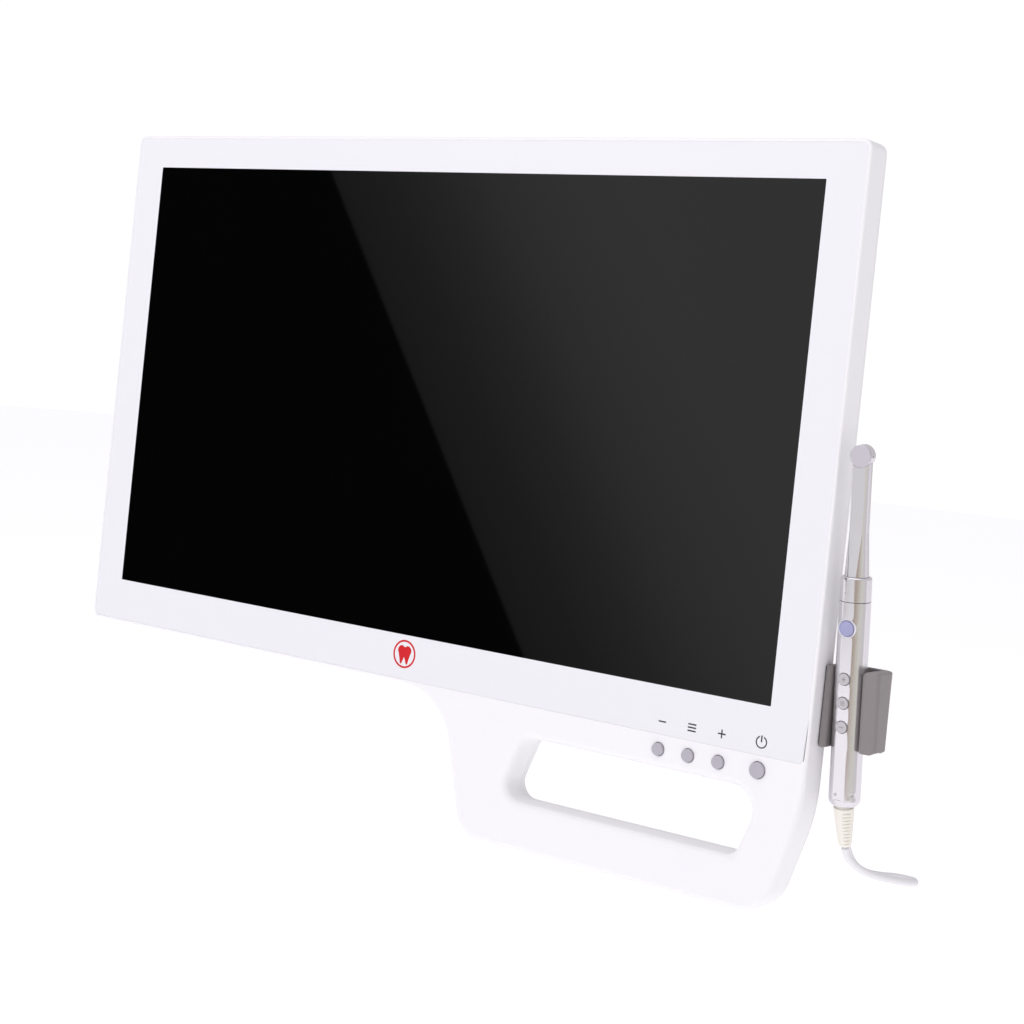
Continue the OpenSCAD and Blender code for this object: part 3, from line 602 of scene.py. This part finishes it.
def build_front_housing():
    """The moulded front with its handle, glass seat, hand slot and button holes."""
    skin = Skin()
    case_line = edge_line(CASE)
    slot_line = edge_line(SLOT)
    glass_line = box_line(*GLASS, r=3.9, steps=8)
    window_line = box_line(-267.5, 267.5, -152.2, 152.2)
    chin_line = edge_line([(286, -178.2, 1), (42, -178.2, 1), (60.5, -262, 12), (268, -262, 18),
                           (286, -205, 90)])

    # Outer wall, from the front face over the rounded edge to the seam, and back inside
    case_steps = [(lambda p: front_edge(p) + STRIP / 2, FRONT)] + rounding(front_edge, FRONT)
    case_steps += [(0, SEAM - SEAM_GROOVE), (SEAM_GROOVE, SEAM), (WALL, SEAM), (WALL, LEDGE)]
    face_outer, inner_outer = skin.rings(case_line, case_steps)
    # Glass seat with its sloped rim, and the opening behind the picture
    rim_steps = [(-0.45, FRONT), (-0.02, GLASS_FACE - 0.02), (-0.02, SEAT)]
    face_glass, seat_outer = skin.rings(glass_line, rim_steps)
    seat_window, inner_window = skin.rings(window_line, [(0, SEAT), (0, LEDGE)])
    skin.fill(seat_outer, seat_window)
    # Hand slot
    slot_edge = 4.4
    slot_steps = outward([(slot_edge + STRIP, FRONT)] + rounding(slot_edge, FRONT))
    slot_steps += [(0, SEAM - SEAM_GROOVE), (-SEAM_GROOVE, SEAM)]
    face_slot, seam_slot = skin.rings(slot_line, slot_steps)
    back_slot, chin_slot = skin.rings(slot_line, [(-WALL, SEAM), (-WALL, CHIN)])
    skin.band(seam_slot, back_slot)
    # Buttons' holes
    face_holes, chin_holes = [], []
    for x, z, d in BUTTONS.values():
        hole = round_line(x, z, d / 2 + 0.3)
        outer, inner = skin.rings(hole, [(-0.2, FRONT), (0, FRONT + 0.2), (0, CHIN)])
        face_holes.append(outer)
        chin_holes.append(inner)
    skin.fill(face_outer, face_glass, face_slot, *face_holes)
    chin_outer, chin_back = skin.rings(chin_line, [(0, CHIN), (0, LEDGE)])
    skin.fill(chin_outer, chin_slot, *chin_holes)
    skin.fill(inner_outer, inner_window, chin_back)
    obj = skin.make("front_shell", "case_white", "monitor")
    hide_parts("front_housing")


def build_glass():
    """The cover glass, as its white printed border and the dark picture within."""
    skin = Skin()
    outer_line = box_line(*GLASS, r=3.9, steps=8)
    picture_line = box_line(*PICTURE, r=0.5, steps=3)
    glass_steps = rounding(0.08, GLASS_FACE, steps=3) + [(0, SEAT)]
    face_outer, back_outer = skin.rings(outer_line, glass_steps)
    face_inner, back_inner = skin.rings(picture_line, [(0, GLASS_FACE), (0, SEAT)])
    skin.fill(face_outer, face_inner)
    skin.fill(back_outer, back_inner)
    border = skin.make("glass_border", "border_white", "monitor")
    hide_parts("glass_border_print")

    skin = Skin()
    face, back = skin.rings(picture_line, [(0.02, GLASS_FACE + 0.01), (0.02, SEAT)])
    skin.fill(face)
    skin.fill(back)
    window = skin.make("picture_glass", "front_glass", "monitor")
    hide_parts("cover_glass")


# ---- rear cover ----

BULGE_X = 190
BULGE_LOW = -110
BULGE_HIGH = 100
BULGE = [(BULGE_X, BULGE_HIGH, 22), (-BULGE_X, BULGE_HIGH, 22), (-BULGE_X, BULGE_LOW, 22),
         (BULGE_X, BULGE_LOW, 22)]
PORT_Y = -12
PLUG_X = 156
VENT_XS = range(-150, 151, 12)
SOUND_XS = (-150, 150)
SOUND_ROWS = range(6)
# Round ports as x and radius, then straight ones as x, half width and half height
ROUND_PORTS = ((60, 4.6), (PLUG_X, 6.6))
STRAIGHT_PORTS = ((90, 7.9, 3.2), (118, 6.9, 3.4), (136, 6.9, 3.4))


def wall_hole(skin, points_at, z_out, z_in):
    """A hole through the bulge's lower wall, from ring points (x, y); returns its two rings."""
    outer = skin.ring([(x, y, z_out) for x, y in points_at])
    inner = skin.ring([(x, y, z_in) for x, y in points_at])
    skin.band(outer, inner)
    return outer, inner


def build_rear_cover():
    """The moulded back with its bulge, slots, screw pockets, port holes and plate recess."""
    skin = Skin()
    case_line = edge_line(CASE)
    slot_line = edge_line(SLOT)
    bulge_line = edge_line(BULGE, steps=10, spacing=1000)
    edge = 5.6
    inner_back = BACK - WALL
    start = SEAM + 0.02

    # Outer edge: seam groove, wall, then the full back radius
    around = [(SEAM_GROOVE, start), (0, start + SEAM_GROOVE)]
    over = [(edge * (1 - math.cos(a)), BACK - edge + edge * math.sin(a)) for a in quarter(8)[1:]]
    over.append((edge + STRIP, BACK))
    outer_front, back_outer = skin.rings(case_line, around + over)
    inner_steps = [(WALL, start), (WALL + 0.5, BACK - edge), (WALL + 3, inner_back)]
    inner_front, inner_outer = skin.rings(case_line, inner_steps)
    skin.band(outer_front, inner_front)
    # Slot
    slot_edge = 3.2
    slot_over = [(-slot_edge * (1 - math.cos(a)), BACK - slot_edge + slot_edge * math.sin(a))
                 for a in quarter(6)]
    slot_over.append((-slot_edge - STRIP, BACK))
    slot_seam = [(-SEAM_GROOVE, start), (0, start + SEAM_GROOVE)]
    slot_front, back_slot = skin.rings(slot_line, slot_seam + slot_over)
    slot_inner, inner_slot = skin.rings(slot_line, [(-WALL, start), (-WALL - 1.5, inner_back)])
    skin.band(slot_front, slot_inner)
    # Screw pockets
    pockets = []
    pocket_steps = [(-0.25, BACK), (0, BACK - 0.25), (0, BACK - 2.4)]
    for x, z in SCREWS:
        mouth, floor = skin.rings(round_line(x, z, 3.3, 28), pocket_steps)
        skin.fill(floor)
        pockets.append(mouth)

    # Bulge: a small fillet at its foot, the wall, and a rounded top edge
    foot, top_r = 2.0, 3.5
    fillet = [(-foot - STRIP, BACK)]
    fillet += [(-foot * (1 - math.sin(a)), BACK + foot * (1 - math.cos(a))) for a in quarter(5)]
    base, low_rim = skin.rings(bulge_line, fillet)
    crown = [(top_r * (1 - math.cos(a)), -top_r + top_r * math.sin(a)) for a in quarter(6)]
    crown.append((top_r + STRIP, 0))
    high_rim, top = skin.rings(bulge_line, crown)
    inside = WALL + 0.5
    low_in = skin.ring(shifted(bulge_line, inside, inner_back))
    high_in = skin.ring(shifted(bulge_line, inside, -WALL))
    # The lower wall's one long stretch is left open, for the ports
    count = len(bulge_line)
    spans = [(bulge_line[(i + 1) % count][0] - bulge_line[i][0]).length for i in range(count)]
    flat = max(range(count), key=lambda i: (bulge_line[i][0].y < BULGE_LOW + 0.01) * spans[i])
    after = (flat + 1) % count
    skin.band(low_rim, high_rim, skip=(flat,))
    skin.band(low_in, high_in, skip=(flat,))
    outer_holes, inner_holes = [], []
    z_out, z_in = BULGE_LOW, BULGE_LOW + inside
    turns = [math.tau * k / 32 for k in range(32)]
    for x, r in ROUND_PORTS:
        circle = [(x + r * math.cos(a), PORT_Y + r * math.sin(a)) for a in turns]
        hole = wall_hole(skin, circle, z_out, z_in)
        outer_holes.append(hole[0])
        inner_holes.append(hole[1])
    for x, w, h in STRAIGHT_PORTS:
        box = box_line(x - w, x + w, PORT_Y - h, PORT_Y + h, 0.6, 3)
        hole = wall_hole(skin, [(p.x, p.y) for p, way in box], z_out, z_in)
        outer_holes.append(hole[0])
        inner_holes.append(hole[1])
    skin.fill([low_rim[flat], low_rim[after], high_rim[after], high_rim[flat]], *outer_holes)
    skin.fill([low_in[flat], low_in[after], high_in[after], high_in[flat]], *inner_holes)

    # Top face: recess of the mounting plate, cooling slots and sound slots
    recess_mouth, recess_floor = skin.rings(box_line(-60.7, 60.7, -60.7, 60.7, 4.2, 6),
                                            [(-0.3, 0), (0, -0.3), (0, -2.95)])
    skin.fill(recess_floor)
    boss_top, boss_low = skin.rings(box_line(-65, 65, -65, 65, 6, 6), [(0, -WALL), (0, -6)])
    skin.fill(boss_low)
    through_top, through_in = [], []
    slots = [box_line(x - 1.5, x + 1.5, 72, 92, 1.45, 5) for x in VENT_XS]
    for x in SOUND_XS:
        slots += [box_line(x - 12, x + 12, -92 + 5 * i, -89.6 + 5 * i, 1.15, 5) for i in SOUND_ROWS]
    for slot_way in slots:
        mouth, inner = skin.rings(slot_way, [(-0.2, 0), (0, -0.2), (0, -WALL)])
        through_top.append(mouth)
        through_in.append(inner)
    skin.fill(top, recess_mouth, *through_top)
    skin.fill(high_in, boss_top, *through_in)
    skin.fill(back_outer, back_slot, base, *pockets)
    skin.fill(inner_outer, inner_slot, low_in)
    obj = skin.make("rear_shell", "cover_white", "monitor")
    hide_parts("rear_cover")


# ---- side clip ----

CLIP_X, CLIP_TOP, CLIP_H = 290, -120.5, 45.5
ARM_T, CHANNEL = 3.8, 18.4
# Depths: the front of the right arm and of the left, the back, and the channel's floor
CLIP_FRONT, LEFT_FRONT, CLIP_BACK, WEB_IN = -37.8, -36, -14.5, -16.6
LIP_X = CLIP_X + ARM_T + CHANNEL
CLIP_OUT = LIP_X + 10.9
LEAN = math.tan(math.radians(6.5))


def build_clip():
    """The channel that holds the handpiece: its right arm leans with it and has a full nose."""
    plan = [(CLIP_X, CLIP_BACK, 1), (CLIP_X, LEFT_FRONT, 0.9), (CLIP_X + ARM_T, LEFT_FRONT, 2.8),
            (CLIP_X + ARM_T, WEB_IN, 4.5), (LIP_X + 3.6, WEB_IN, 5),
            (LIP_X + 3.6, CLIP_FRONT + 8.2, 1.5), (LIP_X, CLIP_FRONT + 7, 1),
            (LIP_X, CLIP_FRONT, 3.4), (CLIP_OUT, CLIP_FRONT, 2.2), (CLIP_OUT, CLIP_BACK, 8)]
    line = edge_line(plan, steps=6, spacing=1.6)
    r, corner = 0.9, 5.5
    levels = [(r * (1 - math.sin(a)), r * (1 - math.cos(a))) for a in quarter(4)]
    # Steps down the clip: inward shift and share of the height
    heights = [(t, d / CLIP_H) for t, d in levels] + [(0, 0.12 * k) for k in range(1, 8)]
    heights += [(t, 1 - d / CLIP_H) for t, d in reversed(levels)]
    skin = Skin()
    rings = []
    for inward, share in heights:
        points = []
        for point, way in line:
            spot = point + way * inward
            into_lip = spot.x - LIP_X
            nose = 0
            if into_lip > -1:
                nose = min(1, max(0, (WEB_IN - spot.y) / (WEB_IN - CLIP_FRONT)))
            top = CLIP_TOP
            if -1 < into_lip < corner and spot.y < CLIP_FRONT + 8:
                top -= (corner - math.sqrt(corner ** 2 - (corner - max(0, into_lip)) ** 2)) * 0.8
            outer = min(1, max(0, (spot.x - CLIP_OUT + 4) / 3))
            low = CLIP_TOP - CLIP_H - 0.7 + 1.6 * outer * outer * (3 - 2 * outer)
            z = top + (low - top) * share
            points.append((spot.x, spot.y + nose * (CLIP_TOP - z) * LEAN, z))
        rings.append(skin.ring(points))
    for a, b in zip(rings, rings[1:]):
        skin.band(a, b)
    skin.fill(rings[0])
    skin.fill(rings[-1])
    obj = skin.make("clip_skin", "clip_grey", "monitor", crease=50)
    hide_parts("holder_clip")


# ---- handpiece details ----

# A point on the handpiece's axis, in the clip
HP = Vector((303, -28.5, -142))
# Each key's place along the axis, and its sign's bars as (up, width, height)
KEYS = {"key_plus": (16.4, [(0, 2.6, 0.4), (0, 0.4, 2.6)]),
        "key_menu": (2.9, [(0.9, 2.4, 0.35), (0, 2.4, 0.35), (-0.9, 2.4, 0.35)]),
        "key_minus": (-10.6, [(0, 2.6, 0.4)])}
# Depths of a sign's near and far face, which lie on both sides of the key's face
SIGN_NEAR, SIGN_FAR = -9.13, -9.05


def on_handpiece(x, y, w):
    """A place in the handpiece's own leaning axes, in the frame's."""
    a = math.atan(LEAN)
    across = y * math.cos(a) - w * math.sin(a)
    up = y * math.sin(a) + w * math.cos(a)
    return (HP.x + x, HP.y + across, HP.z + up)


def build_key_marks():
    """Plus, bars and minus, engraved and inked on the three keys."""
    for key, (w, bars) in KEYS.items():
        skin = Skin()
        for z, wide, high in bars:
            loop = [(-wide / 2, z - high / 2), (wide / 2, z - high / 2),
                    (wide / 2, z + high / 2), (-wide / 2, z + high / 2)]
            near = skin.ring([on_handpiece(px, SIGN_NEAR, w + pz) for px, pz in loop])
            far = skin.ring([on_handpiece(px, SIGN_FAR, w + pz) for px, pz in loop])
            skin.band(near, far)
            skin.mesh.faces.new(near)
            skin.mesh.faces.new(list(reversed(far)))
        skin.make(key + "_mark", "clip_grey", key)


def build_pin_hole_shade():
    """A dark disc on the head's right side: painted shade in place of the inside of a pin hole."""
    skin = Skin()
    r, y, w = 0.48, -0.6, 139.8
    turns = [math.tau * k / 16 for k in range(16)]
    inner, outer = [skin.ring([on_handpiece(x, y + r * math.cos(a), w + r * math.sin(a))
                               for a in turns]) for x in (5.85, 6.15)]
    skin.band(inner, outer)
    skin.mesh.faces.new(inner)
    skin.mesh.faces.new(list(reversed(outer)))
    # The disc is not cut into the shell; its dark colour is painted shade of the pin hole.
    skin.make("head_pin_hole_shade", "icon_dark", "handpiece")


# ---- cord ----

CORD_R = 2.2
LEAD = [(303, -14.7, -223.3), (303.7, -12.9, -227.8), (305.7, -9.2, -232), (309.1, -2.5, -236.5),
        (313.5, 6, -239.8), (318.5, 15.5, -242), (323, 25.3, -243.9), (324.6, 36.2, -245.4),
        (319, 45.8, -246.6), (308.4, 47.3, -247.2), (300.8, 39.8, -246.8), (296.2, 30.5, -244.6),
        (291.9, 22.4, -239), (289, 17.3, -228.5), (288, 16.2, -215), (287.5, 16, -201),
        (286.5, 15.3, -187), (284.5, 13.8, -172), (281, 11.3, -158), (276.5, 7.3, -144),
        (271.5, 2, -130), (266.5, -4.5, -116), (262.8, -10, -101), (261.4, -12, -88)]
TAIL = [(213, -12, -86), (206, -12, -98), (201.5, -12, -112), (198, -12, -126.5),
        (194, -12, -141), (188.5, -12, -154.5), (179.5, -12, -165), (167.5, -12, -167.5),
        (158.6, -12, -159.5), (156, -12, -146)]
COIL_AT = Vector((236, -12, -58))
COIL_OUTER = 31.75
PITCH = 4.5


def coil_points(per_turn=42):
    """The coil's line: turns fill columns of a square bundle, in and out, and each step from one
    place to the next ends before the turn beside it needs the room."""
    start, stop = -15, 195 + 360 * 12
    step_turn = 50
    # Total angle at which each step starts, and its move outwards and along Y, in pitches
    moves = [(300, -1, 0), (660, -1, 0), (1020, -1, 0), (1330, 0, 1), (1640, 1, 0), (2000, 1, 0),
             (2360, 1, 0), (2670, 0, 1), (2980, -1, 0), (3340, -1, 0), (3650, 0, 1), (3960, 1, 0),
             (4320, 1, 0)]
    points = []
    count = int((stop - start) / 360 * per_turn)
    for i in range(count + 1):
        angle = (stop - start) * i / count
        r, y = COIL_OUTER, -1.5 * PITCH
        for begins, out, along in moves:
            t = min(1, max(0, (angle - begins) / step_turn))
            t = t * t * (3 - 2 * t)
            r += PITCH * out * t
            y += PITCH * along * t
        a = math.radians(start + angle)
        points.append(COIL_AT + Vector((r * math.cos(a), y, r * math.sin(a))))
    return points


def smooth_line(points, steps=5):
    """A Catmull-Rom curve through the points."""
    points = [Vector(p) for p in points]
    last = len(points) - 1
    full = []
    for i in range(last):
        p0, p1, p2, p3 = [points[min(last, max(0, k))] for k in range(i - 1, i + 3)]
        for k in range(steps):
            t = k / steps
            full.append(0.5 * (2 * p1 + (p2 - p0) * t + (2 * p0 - 5 * p1 + 4 * p2 - p3) * t * t
                               + (3 * p1 - p0 - 3 * p2 + p3) * t ** 3))
    return full + [points[-1]]


def tube(skin, path, radius, sides=14):
    """Sweeps a round section along a path without twist and closes its ends."""
    rings = []
    turns = [math.tau * k / sides for k in range(sides)]
    up = Vector((0.3, 0.9, 0.2))
    for i, point in enumerate(path):
        along = (path[min(i + 1, len(path) - 1)] - path[max(i - 1, 0)]).normalized()
        up = (up - along * up.dot(along)).normalized()
        side = along.cross(up)
        circle = [point + radius * (up * math.cos(a) + side * math.sin(a)) for a in turns]
        rings.append(skin.ring(circle))
    for a, b in zip(rings, rings[1:]):
        skin.band(a, b)
    skin.mesh.faces.new(rings[0])
    skin.mesh.faces.new(list(reversed(rings[-1])))


def build_cord():
    """One tube from the handpiece through the coil to the plug."""
    coil = coil_points()
    # 14 coil points a turn; the curve runs from the lead's end to the coil's third point
    path = smooth_line([*LEAD, *coil[2::3], *TAIL])
    skin = Skin()
    tube(skin, path, CORD_R)
    bmesh.ops.recalc_face_normals(skin.mesh, faces=skin.mesh.faces)
    for face in skin.mesh.faces:
        face.smooth = True
    mesh = bpy.data.meshes.new("camera_cord")
    skin.mesh.to_mesh(mesh)
    skin.mesh.free()
    mesh.materials.append(finish_of("cord_white"))
    cord = bpy.data.objects.new("camera_cord", mesh)
    bpy.context.scene.collection.objects.link(cord)
    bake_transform(cord)
    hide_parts("cord_lead", "cord_coil", "cord_tail")


# ---- everything ----

# Rounding width of each CAD piece's edges
SOFTENED = {
    "vesa_plate": 0.4, "housing_screws": 0.15, "power_socket": 0.2, "hdmi_socket": 0.15,
    "usb_sockets": 0.15, "camera_socket": 0.25, "button_minus": 0.35, "button_menu": 0.35,
    "button_plus": 0.35, "button_power": 0.35, "holder_pad": 0.1, "holder_screws": 0.15,
    "cable_hook": 0.8, "cable_tie": 0.6, "cord_plug": 0.3, "head_shell": 0.25, "head_cap": 0.2,
    "lens_window": 0.15, "lens_barrel": 0.1, "neck_tube": 0.35, "collar_ring": 0.2,
    "body_shell": 0.3, "capture_bezel": 0.3, "capture_button": 0.3, "key_plus": 0.2,
    "key_menu": 0.2, "key_minus": 0.2, "end_cap_pins": 0.1, "strain_relief": 0.15,
}

add_camera()
build_cord()
add_world()
add_light("key", (-0.9, -2.4, 1.6), (0, 0, 0), (1.6, 1.6), 20, (1, 0.99, 1))
add_light("side", (1.9, 0.1, -0.1), (0.28, 0, -0.1), (1.2, 0.9), 1.2, (1, 0.95, 0.93))
add_light("top", (0.1, -0.35, 1.5), (0.1, 0, -0.2), (1.6, 1.0), 5)
add_floor()
add_reflected_card()
add_stripe_card()
for part in frame["record"]["subparts"]:
    node = nodes[part["node"]]
    node.data.materials.clear()
    node.data.materials.append(finish_of(part["material_slot"]))
for name, width in SOFTENED.items():
    soften(name, width)
build_front_housing()
build_glass()
build_rear_cover()
build_clip()
build_key_marks()
build_pin_hole_shade()
